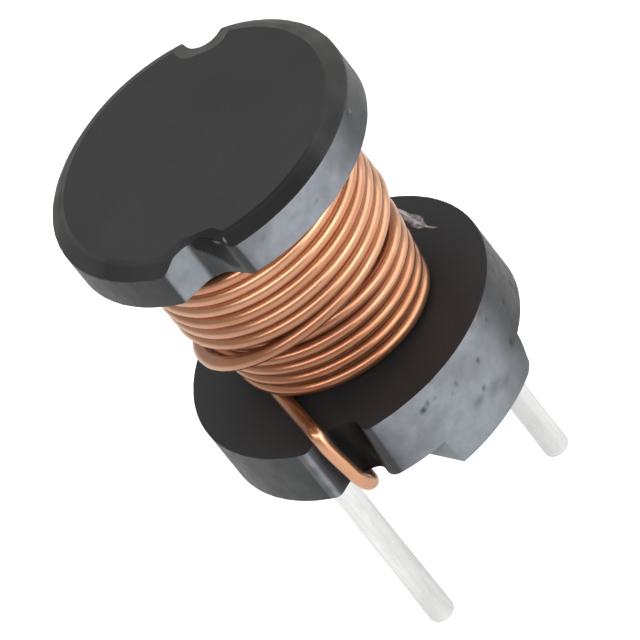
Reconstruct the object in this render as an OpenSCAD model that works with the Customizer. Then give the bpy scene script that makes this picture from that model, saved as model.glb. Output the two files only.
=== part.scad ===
// Radial through-hole inductor: a ferrite drum core wound with enamelled copper wire,
// standing on a bar across its underside, with two tinned lead pins for a circuit board.
// Millimetres. +Z up. The origin is the centre of the foot of the standoff bar.
// The pins lie on the X axis and the standoff bar along the Y axis.

/* [Drum core] */
// Diameter of the base flange
base_d = 7.8; // [7.4:0.05:9]
// Thickness of the base flange
base_h = 1.55; // [1.4:0.01:2.2]
// Diameter of the top flange
top_d = 7.75; // [7.2:0.05:9]
// Height of the straight rim of the top flange
top_rim_h = 0.92; // [0.6:0.01:1.5]
// Height of the chamfer round the top face
chamfer_h = 0.24; // [0.1:0.01:0.4]
// Width of the chamfer round the top face
chamfer_w = 0.31; // [0.1:0.01:0.5]
// Height of the winding window between the flanges
window_h = 5.41; // [5:0.01:7]
// Diameter of the barrel under the winding
barrel_d = 3.0; // [2.6:0.05:3.1]
// Chamfer on the other rim edges of the flanges
edge_c = 0.05; // [0.03:0.01:0.15]

/* [Notches] */
// Width of the four wire notches
notch_w = 1.32; // [1.2:0.02:1.6]
// Depth of the notches in from the rim
notch_depth = 0.6; // [0.5:0.02:0.8]
// Radius of the inner corners of a notch
notch_corner_r = 0.3; // [0.2:0.02:0.5]
// Radius of the mouth edges of a notch
notch_mouth_r = 0.2; // [0.06:0.02:0.3]
// Angle of the notches from the line of the pins
notch_az = 37.5; // [33:0.5:45]

/* [Standoff bar] */
// Height of the bar below the base flange
standoff_h = 0.84; // [0.8:0.01:1.3]
// Width of the bar where it meets the flange
standoff_root_w = 3.4; // [2.4:0.05:3.5]
// Draft of the sides of the bar in degrees
standoff_draft = 15; // [5:1:25]
// Radius of the edges of the foot
foot_edge_r = 0.14; // [0.1:0.02:0.3]

/* [Lead pins] */
// Diameter of the free, tinned end of a lead pin
pin_d = 0.65; // [0.5:0.01:0.7]
// How much the radius of a pin narrows from the foot plane to its end in the base flange
pin_taper = 0.02; // [0.01:0.005:0.04]
// Distance between the two lead pins
lead_pitch = 5.0; // [4.9:0.02:5.3]
// Length of the pins below the foot
pin_reach = 5.2; // [3:0.1:9]
// Depth of the pin sockets in the base flange
socket_depth = 1.2; // [0.9:0.05:1.25]
// Thickness of the cement round a pin in its socket
cement_t = 0.07; // [0.05:0.01:0.1]
// Chamfer on the tip of a pin
pin_tip_c = 0.13; // [0.05:0.01:0.2]

/* [Winding] */
// Outer diameter of the enamelled wire
wire_d = 0.36; // [0.32:0.01:0.37]
// Diameter over the outer layer of turns
winding_d = 5.8; // [5.7:0.05:5.9]
// Space left between neighbouring turns of the outer layer
turn_gap = 0.02; // [0.01:0.005:0.03]
// Space left between neighbouring turns of the layer below
under_gap = 0.06; // [0.04:0.01:0.1]
// Whole turns of the outer layer above its last, crossing turn
outer_turns = 5; // [3:1:5]
// Space above the first turn of the outer layer
top_gap = 0.38; // [0.3:0.01:0.6]
// Space between the base flange and the lowest turn
bottom_gap = 0.25; // [0.22:0.01:0.4]
// How far the turns lean out of level, at their highest
outer_tilt = 0.13; // [0:0.01:0.14]
// The same for the layer below, which leans the other way
under_tilt = 0.12; // [0:0.01:0.12]
// How far the uncovered turns of the layer below swell out
under_swell = 0.17; // [0.05:0.01:0.2]
// Taper of the uncovered turns, in millimetres of radius for each of height
under_taper = 0.135; // [0:0.005:0.15]
// Sideways shift of the uncovered turns
under_lean = 0.05; // [0:0.01:0.07]

/* [Solder and glue] */
// Thickness of the solder round a pin
solder_t = 0.36; // [0.3:0.01:0.4]
// Space between the solder and the foot plane
solder_above_foot = 0.07; // [0.05:0.01:0.3]
// Thickness of the glue trail on the base flange
glue_h = 0.05; // [0.03:0.01:0.15]
// Width of the glue trail at its widest
glue_w = 0.4; // [0.2:0.02:0.5]

/* [Hidden] */

$fn = 96;
SLIT = 0.01;                      // space between pieces that lie against each other
OVER = 0.5;                       // how far a cutting shape runs past what it cuts
FLANGE_Z = standoff_h;            // underside of the base flange
DECK_Z = FLANGE_Z + base_h;       // upper face of the base flange
CEILING_Z = DECK_Z + window_h;    // underside of the top flange
RIM_Z = CEILING_Z + top_rim_h;    // foot of the top chamfer
TOP_Z = RIM_Z + chamfer_h;        // top face

WIRE_R = wire_d / 2;
PIN_R = pin_d / 2;
PIN_TOP_Z = FLANGE_Z + socket_depth;      // end of a pin in its socket
SOCKET_R = PIN_R + cement_t;
OUTER_R = winding_d / 2 - WIRE_R;         // centre line of the outer layer
UNDER_R = OUTER_R - wire_d - turn_gap;    // centre line of the layer that it covers
OUTER_PITCH = wire_d + turn_gap;
UNDER_PITCH = wire_d + under_gap;

// Angles round the drum. The turns are counted where they face FRONT_AZ.
FRONT_AZ = -115;
UNDER_RUN_IN = 150;      // travel from the inner end of the wire to its first front crossing
SURFACING = 60;          // travel over which the wire comes out of the inner layers
CLIMB = 120;             // travel over which the wire climbs to the outer layer at the top
CROSS_BLEND = 80;        // travel over which the last turn rises to ride over the layer below
LEAVE = 345;             // travel from the last regular front crossing to the start of the drop
TURN_STEP = 10;          // angle between rings of a visible turn
HIDDEN_STEP = 20;        // angle between rings of a covered turn
WIRE_SIDES = 8;

// Heights of the centre lines of the turns at their front crossings
UNDER_Z0 = DECK_Z + WIRE_R + bottom_gap;
OUTER_Z0 = CEILING_Z - WIRE_R - top_gap;
CROSS_Z = OUTER_Z0 - (outer_turns + 1) * OUTER_PITCH;
SWELL_Z = CROSS_Z - 1.7 * wire_d;         // where the uncovered turns stand out furthest
COVER_Z = CROSS_Z - WIRE_R / 2;         // above this height the outer layer covers them
LEAD_Z = DECK_Z + WIRE_R + 2 * SLIT;

// Travel along the wire, in degrees, from its inner end
CLIMB_TURNS = floor((OUTER_Z0 - UNDER_Z0) / UNDER_PITCH) + 1;
CLIMB_END = UNDER_RUN_IN - 90 + 360 * CLIMB_TURNS;
CLIMB_START = CLIMB_END - CLIMB;
FIRST_FRONT = CLIMB_END + 90;
LAST_FRONT = FIRST_FRONT + 360 * outer_turns;
COVERED_FROM = UNDER_RUN_IN + 360 * floor((COVER_Z + WIRE_R - UNDER_Z0) / UNDER_PITCH + 1);

// The inner layers, which nothing shows through, are one sleeve on the barrel
SLEEVE_BORE_R = barrel_d / 2 + SLIT;
SLEEVE_R = under_r(UNDER_Z0, FRONT_AZ) - WIRE_R - under_lean - 3 * SLIT;
WIRE_END_R = SLEEVE_R - WIRE_R - 2 * SLIT;

// A lead through a notch, from the deck to the underside. Each row is the distance out from
// the floor of the notch, as a share of its depth, the height above the underside, as a share
// of the flange's thickness, and the distance from the middle of the notch, as a share of
// LEAD_SIDE: first on the side where the lead enters, then towards the pin.
LEAD_SHAPE = [
    [0.25, 1.13, 1.00, 0],
    [0.53, 0.85, 0.75, 0.04],
    [0.67, 0.36, 0.32, 0.16],
    [0.62, 0.11, 0.17, 0.21],
    [0.42, -0.07, 0.07, 0.24],
    [0.03, -0.17, 0.02, 0.31]
];
LEAD_SIDE = notch_w / 2 - WIRE_R;         // furthest from the middle that the wire fits
ENTRY_SIDE = notch_w / 2;                 // where the lead comes off the deck
ENTRY_OUT = base_d / 2 - notch_depth - WIRE_R;
TAIL_START = 0.65;                        // length of the straight end before the solder
SOLDER_R = PIN_R + solder_t;
TAIL_Z = -(standoff_h - solder_above_foot) / 2;

function smooth(x) = let (c = min(1, max(0, x))) c * c * (3 - 2 * c);

// Radius of the layer below at a height and an angle round the drum
function under_r(z, az) =
    let (
        tapered = UNDER_R + under_swell - under_taper * (SWELL_Z - min(z, SWELL_Z)),
        bare = tapered + under_lean * cos(az - FRONT_AZ - 90),
        cover = smooth((z - SWELL_Z) / (COVER_Z - SWELL_Z))
    ) bare + (UNDER_R - bare) * cover;

// Height of the layer below, and of the outer layer, after some travel along the wire
function under_z(travel) =
    let (on = travel - UNDER_RUN_IN)
    UNDER_Z0 + UNDER_PITCH * on / 360 + under_tilt * sin(on);
function regular_z(travel) =
    let (on = travel - FIRST_FRONT)
    OUTER_Z0 - OUTER_PITCH * on / 360 - outer_tilt * sin(on);

// The finish lead leaves the winding on a tangent and slants down to its notch. The turn
// before it drops away from level so that it meets the slant without a kink.
ENTRY_R = norm([ENTRY_OUT, ENTRY_SIDE]);
ENTRY_TURN = atan2(ENTRY_SIDE, ENTRY_OUT);
FINISH_ARC = acos(min(1, OUTER_R / ENTRY_R));
TOUCH = LAST_FRONT + 720 + FRONT_AZ - notch_az - ENTRY_TURN - FINISH_ARC;
DROP_START = LAST_FRONT + LEAVE;
DROP_RUN = (TOUCH - DROP_START) * PI / 180 * OUTER_R;
SLANT_RATIO = 2 * OUTER_R * tan(FINISH_ARC) / DROP_RUN;
TOUCH_Z = (LEAD_Z + SLANT_RATIO * regular_z(TOUCH)) / (1 + SLANT_RATIO);
DROP_RATE = (regular_z(TOUCH) - TOUCH_Z) / pow(TOUCH - DROP_START, 2);

function outer_z(travel) =
    regular_z(travel) - DROP_RATE * pow(max(0, travel - DROP_START), 2);

function wire_az(travel) = FRONT_AZ + UNDER_RUN_IN - travel;

// Radius of the wire's centre line after some travel
function wire_r(travel) =
    travel < CLIMB_START
        ? let (run = under_r(under_z(travel), wire_az(travel)))
          WIRE_END_R + (run - WIRE_END_R) * smooth(travel / SURFACING)
    : travel < CLIMB_END
        ? UNDER_R + (OUTER_R - UNDER_R) * smooth((travel - CLIMB_START) / CLIMB)
    : let (
        over = under_r(outer_z(travel), wire_az(travel)) + wire_d + turn_gap,
        rise = smooth((travel - LAST_FRONT - 360 + CROSS_BLEND) / CROSS_BLEND),
        settle = smooth((TOUCH - travel) / CROSS_BLEND)
      ) OUTER_R + (over - OUTER_R) * rise * settle;

// Height of the wire's centre line after some travel
function wire_z(travel) =
    travel < CLIMB_START ? under_z(travel)
    : travel < CLIMB_END
        ? let (mix = smooth((travel - CLIMB_START) / CLIMB))
          under_z(CLIMB_START) + (outer_z(CLIMB_END) - under_z(CLIMB_START)) * mix
    : outer_z(travel);

function polar(r, az, z) = [r * cos(az), r * sin(az), z];
function wire_point(travel) = polar(wire_r(travel), wire_az(travel), wire_z(travel));

// A point given in the frame of a notch: out from the axis, across towards the pin, and up
function notch_point(az, out, across, up) =
    polar(out, az, FLANGE_Z + up) + polar(across, az - 90, 0);

// Points of a lead from the deck through a notch and under the flange into its solder.
// enter_side is 1 where it enters on the pin's side of the notch, and -1 on the other.
function lead_points(az, pin_x, enter_side) =
    let (turned = pin_x < 0 ? -1 : 1)
    concat(
        [notch_point(az, ENTRY_OUT, enter_side * ENTRY_SIDE, LEAD_Z - FLANGE_Z)],
        [
            for (row = LEAD_SHAPE)
                notch_point(
                    az, base_d / 2 - notch_depth * (1 - row[0]),
                    LEAD_SIDE * (enter_side * row[2] + row[3]), base_h * row[1]
                )
        ],
        [
            [pin_x, turned * (SOLDER_R + TAIL_START), FLANGE_Z + TAIL_Z + WIRE_R / 3],
            [pin_x, turned * (SOLDER_R + WIRE_R), FLANGE_Z + TAIL_Z],
            [pin_x, turned * (PIN_R + 2 * SLIT), FLANGE_Z + TAIL_Z]
        ]
    );

// A smooth curve through a list of points, with a few steps between each pair
function spline(p, steps) = concat(
    [
        for (i = [0 : len(p) - 2], s = [0 : steps - 1])
            let (
                t = s / steps,
                a = p[max(0, i - 1)], b = p[i], c = p[i + 1], d = p[min(len(p) - 1, i + 2)]
            )
            0.5 * (2 * b + (c - a) * t + (2 * a - 5 * b + 4 * c - d) * t * t
                + (3 * b - a - 3 * c + d) * t * t * t)
    ],
    [p[len(p) - 1]]
);

// Turns the direction from one ring of a tube to the next with the least twist
function unit(v) = v / norm(v);
function carried(n, dir) = unit(n - dir * (n * dir));

// A round tube along a list of points, as one closed solid
module tube(path, r, sides) {
    last = len(path) - 1;
    dirs = [for (i = [0 : last]) unit(path[min(last, i + 1)] - path[max(0, i - 1)])];
    sideways = [
        for (i = 0, n = carried([0, 0, 1], dirs[0]); i <= last;
             i = i + 1, n = i > last ? n : carried(n, dirs[i])) n
    ];
    rings = [
        for (i = [0 : last], k = [0 : sides - 1])
            let (a = 360 * (k + 0.5) / sides)
            path[i] + r * (cos(a) * sideways[i] + sin(a) * cross(dirs[i], sideways[i]))
    ];
    walls = [
        for (i = [0 : last - 1], k = [0 : sides - 1])
            let (m = (k + 1) % sides)
            [i * sides + k, (i + 1) * sides + k, (i + 1) * sides + m, i * sides + m]
    ];
    start_cap = [for (k = [0 : sides - 1]) k];
    end_cap = [for (k = [0 : sides - 1]) last * sides + sides - 1 - k];
    polyhedron(rings, concat([start_cap, end_cap], walls), convexity = 10);
}

// Outline of one notch, with round inner corners and eased mouth edges
module notch_2d(flange_r) {
    half = notch_w / 2;
    inner = flange_r - notch_depth;
    mouth_x = half + notch_mouth_r;
    mouth_y = sqrt(pow(flange_r - notch_mouth_r, 2) - mouth_x * mouth_x);
    translate([-half, inner + notch_corner_r])
        square([notch_w, notch_depth + OVER]);
    translate([-half + notch_corner_r, inner])
        square([notch_w - 2 * notch_corner_r, notch_depth + OVER]);
    for (side = [-1, 1]) {
        translate([side * (half - notch_corner_r), inner + notch_corner_r])
            circle(notch_corner_r);
        difference() {
            polygon([
                [side * half * 0.9, mouth_y],
                [side * mouth_x, mouth_y],
                [side * mouth_x * flange_r / (flange_r - notch_mouth_r),
                 mouth_y * flange_r / (flange_r - notch_mouth_r)],
                [side * mouth_x, flange_r + OVER],
                [side * half * 0.9, flange_r + OVER]
            ]);
            translate([side * mouth_x, mouth_y])
                circle(notch_mouth_r);
        }
    }
}

// Both notches of one flange, as cutters
module notch_pair(flange_r, z, h) {
    for (turn = [0, 180])
        rotate([0, 0, notch_az - 90 + turn])
            translate([0, 0, z])
                linear_extrude(h)
                    notch_2d(flange_r);
}

// Cross section of the standoff bar: drafted sides and round foot edges
module standoff_2d() {
    lean = standoff_h * tan(standoff_draft);
    half_root = standoff_root_w / 2;
    half_foot = half_root - lean;
    wedge = (90 - standoff_draft) / 2;
    centre_x = half_foot - foot_edge_r * tan(wedge);
    arc = [for (s = [0 : 5]) -90 + s * (90 - standoff_draft) / 5];
    right = [for (a = arc) [centre_x + foot_edge_r * cos(a), foot_edge_r * (1 + sin(a))]];
    left = [for (i = [5 : -1 : 0]) [-right[i].x, right[i].y]];
    polygon(concat(
        right,
        [[half_root, standoff_h], [half_root, standoff_h + OVER],
         [-half_root, standoff_h + OVER], [-half_root, standoff_h]],
        left
    ));
}

// The sintered ferrite drum: two flanges, barrel, standoff bar, notches and pin sockets
module drum_core() {
    top_r = top_d / 2;
    base_r = base_d / 2;
    color([0.22, 0.23, 0.24])
        difference() {
            union() {
                rotate_extrude()
                    polygon([
                        [0, FLANGE_Z],
                        [base_r - edge_c, FLANGE_Z], [base_r, FLANGE_Z + edge_c],
                        [base_r, DECK_Z - edge_c], [base_r - edge_c, DECK_Z],
                        [barrel_d / 2, DECK_Z], [barrel_d / 2, CEILING_Z],
                        [top_r - edge_c, CEILING_Z], [top_r, CEILING_Z + edge_c],
                        [top_r, RIM_Z], [top_r - chamfer_w, TOP_Z], [0, TOP_Z]
                    ]);
                intersection() {
                    rotate([90, 0, 0])
                        linear_extrude(base_d + 2 * OVER, center = true)
                            standoff_2d();
                    cylinder(h = standoff_h + OVER, r = base_r - edge_c);
                }
            }
            notch_pair(base_r, FLANGE_Z - OVER, base_h + 2 * OVER);
            notch_pair(top_r, CEILING_Z - OVER, TOP_Z - CEILING_Z + 2 * OVER);
            for (x = [-lead_pitch / 2, lead_pitch / 2])
                translate([x, 0, FLANGE_Z - OVER])
                    cylinder(h = socket_depth + OVER, r = SOCKET_R);
        }
}

// The enamelled wire: hidden inner layers, visible turns and both leads
module winding() {
    start_az = notch_az - 180;
    start_entry = lead_points(start_az, -lead_pitch / 2, 1);
    start_touch_az = start_az - ENTRY_TURN - acos(SLEEVE_R / ENTRY_R);
    start_dive = [
        for (s = [3 : -1 : 1])
            let (mix = smooth(s / 3))
            polar(SLEEVE_R + (WIRE_END_R - SLEEVE_R) * mix, start_touch_az - 10 * s, LEAD_Z)
    ];
    finish_entry = lead_points(notch_az, lead_pitch / 2, -1);
    turns = concat(
        [for (t = [0 : TURN_STEP : COVERED_FROM - 1]) wire_point(t)],
        [for (t = [COVERED_FROM : HIDDEN_STEP : CLIMB_START - 1]) wire_point(t)],
        [for (t = [CLIMB_START : TURN_STEP : TOUCH - TURN_STEP / 2]) wire_point(t)]
    );
    color([0.72, 0.42, 0.24]) {
        tube(concat(turns, [wire_point(TOUCH)], spline(finish_entry, 4)), WIRE_R, WIRE_SIDES);
        tube(concat(start_dive, [polar(SLEEVE_R, start_touch_az, LEAD_Z)],
             spline(start_entry, 4)), WIRE_R, WIRE_SIDES);
        rotate_extrude()
            polygon([
                [SLEEVE_BORE_R, DECK_Z + SLIT], [SLEEVE_R, DECK_Z + SLIT],
                [SLEEVE_R, CEILING_Z - SLIT], [SLEEVE_BORE_R, CEILING_Z - SLIT]
            ]);
    }
}

// Radius of a pin at a height above the foot plane
function pin_r(z) = PIN_R - pin_taper * z / PIN_TOP_Z;

// A round pin from the end of its socket to a chamfered tip below the foot
module lead_pin(x) {
    color([0.82, 0.82, 0.81])
        translate([x, 0, 0])
            rotate_extrude()
                polygon([
                    [0, -pin_reach], [PIN_R - pin_tip_c, -pin_reach],
                    [PIN_R, -pin_reach + pin_tip_c], [PIN_R, 0],
                    [pin_r(PIN_TOP_Z), PIN_TOP_Z], [0, PIN_TOP_Z]
                ]);
}

module start_pin() {
    lead_pin(-lead_pitch / 2);
}

module finish_pin() {
    lead_pin(lead_pitch / 2);
}

// Solder over the wire's end on a pin. Its section is a bulge that thins at both ends,
// with two soft waves where the wire went round under it.
module pin_solder(side) {
    low = solder_above_foot;
    high = FLANGE_Z - SLIT;
    span = high - low;
    steps = 12;
    end_share = 0.42;
    dimple = solder_t / 10;
    wave = [
        for (s = [0 : steps])
            let (
                t = s / steps,
                bulge = end_share + (1 - end_share) * sqrt(sin(180 * t))
            )
            [PIN_R + solder_t * bulge - dimple * pow(cos(360 * t), 4), high - span * t]
    ];
    color([0.78, 0.78, 0.77])
        translate([side * lead_pitch / 2, 0, 0])
            difference() {
                rotate_extrude()
                    polygon(concat([[pin_r(low) + SLIT, low], [pin_r(high) + SLIT, high]], wave));
                translate([0, 0, FLANGE_Z + TAIL_Z])
                    rotate([-90 * side, 0, 0])
                        cylinder(h = SOLDER_R + OVER, r = WIRE_R + SLIT);
            }
}

module start_solder() {
    pin_solder(-1);
}

module finish_solder() {
    pin_solder(1);
}

// Cement that holds a pin in its socket
module pin_cement(x) {
    color([0.55, 0.5, 0.38])
        translate([x, 0, 0])
            rotate_extrude()
                polygon([
                    [pin_r(FLANGE_Z) + SLIT, FLANGE_Z], [SOCKET_R - SLIT, FLANGE_Z],
                    [SOCKET_R - SLIT, PIN_TOP_Z], [pin_r(PIN_TOP_Z) + SLIT, PIN_TOP_Z]
                ]);
}

module start_pin_cement() {
    pin_cement(-lead_pitch / 2);
}

module finish_pin_cement() {
    pin_cement(lead_pitch / 2);
}

// A smear of dried glue on the base flange, from the finish notch back along the rim.
// Each spot is an angle from the notch, a distance in from the rim as a share of its radius,
// and a width as a share of glue_w.
module glue_trail() {
    spots = [
        [18, 0.065, 1], [24, 0.136, 0.85], [31, 0.17, 0.7], [39, 0.183, 0.55], [46, 0.173, 0.4]
    ];
    edge_r = base_d / 2 - edge_c;
    color([0.66, 0.62, 0.6])
        translate([0, 0, DECK_Z])
            linear_extrude(glue_h)
                for (i = [0 : len(spots) - 2])
                    hull()
                        for (spot = [spots[i], spots[i + 1]])
                            rotate([0, 0, notch_az - spot[0]])
                                translate([edge_r * (1 - spot[1]), 0])
                                    circle(d = glue_w * spot[2], $fn = 24);
}

drum_core();
winding();
start_pin();
finish_pin();
start_solder();
finish_solder();
start_pin_cement();
finish_pin_cement();
glue_trail();
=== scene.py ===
import math

import bpy
import numpy as np
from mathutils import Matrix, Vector, noise

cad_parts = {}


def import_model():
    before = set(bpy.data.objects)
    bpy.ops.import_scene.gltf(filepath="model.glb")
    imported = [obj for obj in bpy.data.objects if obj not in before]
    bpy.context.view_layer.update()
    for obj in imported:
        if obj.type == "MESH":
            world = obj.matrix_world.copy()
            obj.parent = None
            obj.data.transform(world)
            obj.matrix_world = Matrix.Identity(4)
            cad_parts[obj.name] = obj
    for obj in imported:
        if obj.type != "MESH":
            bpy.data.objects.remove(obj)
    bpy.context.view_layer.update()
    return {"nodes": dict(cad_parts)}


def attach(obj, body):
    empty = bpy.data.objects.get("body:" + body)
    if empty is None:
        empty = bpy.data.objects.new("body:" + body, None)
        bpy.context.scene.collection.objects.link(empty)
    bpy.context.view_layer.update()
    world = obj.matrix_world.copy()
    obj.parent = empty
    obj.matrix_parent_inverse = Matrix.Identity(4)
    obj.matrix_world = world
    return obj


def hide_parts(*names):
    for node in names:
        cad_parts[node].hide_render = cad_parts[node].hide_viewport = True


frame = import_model()

MM = 0.001

# Sizes of the part in millimetres, as in its source
BASE_R, TOP_R, BARREL_R = 3.9, 3.875, 1.5
FLANGE_Z, DECK_Z, CEILING_Z, RIM_Z, TOP_Z = 0.84, 2.39, 7.80, 8.72, 8.96
CHAMFER_W, EDGE_C = 0.31, 0.05
NOTCH_AZ, NOTCH_HALF, NOTCH_DEPTH = 37.5, 0.66, 0.6
BAR_ROOT, BAR_DRAFT, FOOT_R = 1.7, 15.0, 0.14
PIN_X, PIN_R, PIN_TAPER, PIN_TOP_Z, PIN_REACH = 2.5, 0.325, 0.02, 2.04, 5.2
SOLDER_T, SOLDER_LOW = 0.36, 0.07
WIRE_D, WINDING_D, TURN_GAP, UNDER_GAP = 0.36, 5.8, 0.02, 0.06
OUTER_TURNS, TOP_GAP, BOTTOM_GAP = 5, 0.38, 0.25
OUTER_TILT, UNDER_TILT, UNDER_SWELL, UNDER_TAPER, UNDER_LEAN = 0.13, 0.12, 0.17, 0.135, 0.05
SLIT = 0.01


def sin(a):
    return math.sin(math.radians(a))


def cos(a):
    return math.cos(math.radians(a))


def smooth(x):
    """Eases from 0 to 1."""
    c = min(1.0, max(0.0, x))
    return c * c * (3 - 2 * c)


def rise(x, width):
    """Goes straight from 0 to 1 over a width."""
    return np.clip(x / width, 0, 1)


def polar(r, az, z):
    return np.array([r * cos(az), r * sin(az), z])


def azimuth(verts):
    return np.degrees(np.arctan2(verts[:, 1], verts[:, 0]))


def turn_from(az, middle):
    """How far round azimuths lie from a middle one, from -180 to 180."""
    return (az - middle + 180) % 360 - 180


def value_noise(p, scale, seed):
    return noise.noise(Vector((p[0] * scale + seed, p[1] * scale - seed, p[2] * scale + 2 * seed)))


def patches(verts, scale, seed):
    return np.array([value_noise(p, scale, seed) for p in verts])


# Meshes

def make(name, verts, faces, materials, node, slots=None):
    """A piece from points in millimetres. It rides on the part's one body."""
    mesh = bpy.data.meshes.new(name)
    mesh.from_pydata([tuple(v) for v in np.asarray(verts) * MM], [], [tuple(f) for f in faces])
    mesh.validate()
    for m in materials:
        mesh.materials.append(m)
    if slots is not None:
        mesh.polygons.foreach_set("material_index", slots)
    mesh.polygons.foreach_set("use_smooth", [True] * len(mesh.polygons))
    mesh.update()
    obj = bpy.data.objects.new(name, mesh)
    bpy.context.scene.collection.objects.link(obj)
    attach(obj, "root")
    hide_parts(node)
    return obj


def carry(obj, name, values):
    """Gives the mesh a value at each point, for its material to read."""
    layer = obj.data.attributes.new(name, "FLOAT", "POINT")
    layer.data.foreach_set("value", np.asarray(values, dtype=np.float32))


def joined(meshes):
    """The points and faces of several meshes as one."""
    verts, faces = [], []
    start = 0
    for v, f in meshes:
        verts.append(v)
        faces += [tuple(i + start for i in q) for q in f]
        start += len(v)
    return np.concatenate(verts), faces


def wound(face, flip):
    """A face, with its points the other way round where flip is set."""
    return tuple(reversed(face)) if flip else tuple(face)


def vertex_normals(verts, faces):
    """The normal at each point, from the quads round it."""
    normals = np.zeros_like(verts)
    for f in faces:
        if len(f) > 4:
            continue
        a, b, c = verts[f[0]], verts[f[1]], verts[f[2]]
        n = np.cross(b - a, c - a)
        for i in f:
            normals[i] += n
    length = np.linalg.norm(normals, axis=1)
    length[length < 1e-12] = 1
    return normals / length[:, None]


def loft(levels):
    """Quads between loops with the same number of points each, and a face on either end."""
    count = len(levels[0])
    faces = []
    for i in range(len(levels) - 1):
        low, high = i * count, (i + 1) * count
        for k in range(count):
            m = (k + 1) % count
            faces.append((low + k, low + m, high + m, high + k))
    faces.append(tuple(reversed(range(count))))
    faces.append(tuple((len(levels) - 1) * count + k for k in range(count)))
    return np.concatenate(levels), faces


def eased(a, b, c, r, count):
    """A corner at b between a and c, as a smooth curve that starts r before it and ends r after it."""
    a, b, c = (np.array(p, float) for p in (a, b, c))
    p, q = b + (a - b) / np.linalg.norm(a - b) * r, b + (c - b) / np.linalg.norm(c - b) * r
    return [(1 - t) ** 2 * p + 2 * t * (1 - t) * b + t * t * q for t in np.linspace(0, 1, count)]


def soften(points, radius, steps=5, spacing=0.07):
    """Rounds the corners of an open profile and adds points on its straight runs."""
    out = [np.array(points[0], float)]
    for a, b, c, r in zip(points, points[1:], points[2:], radius):
        out += eased(a, b, c, r, steps + 1)
    out.append(np.array(points[-1], float))
    filled = [out[0]]
    for p in out[1:]:
        start = filled[-1]
        n = max(1, math.ceil(np.linalg.norm(p - start) / spacing))
        filled += [start + (p - start) * k / n for k in range(1, n + 1)]
    return filled


def run_of(path):
    """How far along a path each of its points lies."""
    return np.concatenate([[0], np.cumsum(np.linalg.norm(np.diff(path, axis=0), axis=1))])


def resampled(path, count):
    """A path as count points at even distances."""
    path = np.array(path)
    run = run_of(path)
    at = np.linspace(0, 1, count) * run[-1]
    return np.column_stack([np.interp(at, run, line) for line in path.T])


# The drum core: two notched flanges, a barrel and a bar, lofted level by level

# The notches as they stand on this copy: azimuth, then half width of the floor, depth, half width of
# the mouth, corner and mouth radius, and how much the wall after the notch leans in at its foot
BASE_NOTCH = (0.435, 0.60, 0.76, 0.27, 0.19)
NOTCHES = {
    "base": ((37.2, BASE_NOTCH, 0.0), (217.2, BASE_NOTCH, 0.2)),
    "top": ((35.9, (0.26, 0.68, 0.70, 0.30, 0.12), 0.0), (218.8, (0.22, 0.56, 0.88, 0.16, 0.15), 0.0)),
}
HALF_POINTS, RIM_POINTS, CORNER_POINTS = 40, 190, 24
EDGE_R = 0.6 * EDGE_C
# How far in the outermost flat ring of a face goes, and how far from a notch the top face starts
RING_W, TOP_INSET = 0.03, 0.25
# How far the barrel goes into a flange
SUNK = 0.2
# The material slots of the core
RIM, FACE, CHAMFER = 0, 1, 2


def notch_half(big_r, rim_r, grow, shape, lean=0.0):
    """Half of a notch from the middle of its floor out to the rim, as (across, out). Its walls
    spread towards the rim, and its corners and mouth are round."""
    floor_half, depth, mouth_half, corner_r, mouth_r = shape
    floor = big_r - depth - grow
    foot = (floor_half - lean * 0.5 + grow, floor)
    mouth_x = mouth_half - lean + grow
    mouth, beyond = ((x, math.sqrt(big_r ** 2 - x ** 2)) for x in (mouth_x, mouth_x + 0.5))
    pts = [np.array((0.0, floor))] + eased((0, floor), foot, mouth, min(corner_r, foot[0]), CORNER_POINTS)
    pts = np.array(pts + eased(foot, mouth, beyond, mouth_r + 0.6 * lean, CORNER_POINTS))
    # The last of the mouth lies on the rim itself
    pts *= np.minimum(1, big_r / np.hypot(pts[:, 0], pts[:, 1]))[:, None]
    radius = np.hypot(pts[:, 0], pts[:, 1])
    past = np.nonzero(radius > rim_r)[0]
    if len(past):
        k = past[0]
        t = (rim_r - radius[k - 1]) / (radius[k] - radius[k - 1])
        pts = np.concatenate([pts[:k], [pts[k - 1] + (pts[k] - pts[k - 1]) * t]])
    return resampled(pts, HALF_POINTS + 1)


def placed(half, az, side):
    """The points of half a notch at an azimuth, on the side after it (1) or before it (-1)."""
    return [(out * cos(az) - side * x * sin(az), out * sin(az) + side * x * cos(az)) for x, out in half]


def outline(big_r, rim_r, grow, z, notches):
    """One level of a flange, anticlockwise from the middle of the first notch."""
    grow = max(0.0, min(grow, big_r - rim_r))
    low = max(0.0, (DECK_Z - z) / (DECK_Z - FLANGE_Z))
    loop = []
    for (az, shape, lean), (next_az, next_shape, _) in (notches, notches[::-1]):
        after = notch_half(big_r, rim_r, grow, shape, lean * low)
        before = notch_half(big_r, rim_r, grow, next_shape)
        start = az + math.degrees(math.atan2(*after[-1]))
        end = next_az + (360 if next_az < az else 0) - math.degrees(math.atan2(*before[-1]))
        reach = math.hypot(*after[-1])
        loop += placed(after, az, 1)
        loop += [(reach * cos(a), reach * sin(a)) for a in np.linspace(start, end, RIM_POINTS + 2)[1:-1]]
        loop += placed(before[:0:-1], next_az, -1)
    return np.column_stack([np.array(loop), np.full(len(loop), z)])


def edge_grow(z, low, high):
    """How far a notch is eased at a level near either flat face."""
    d = min(z - low, high - z)
    return 0.0 if d >= EDGE_R else EDGE_R * (1 - math.sqrt(max(0.0, 1 - (1 - d / EDGE_R) ** 2)))


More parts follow.
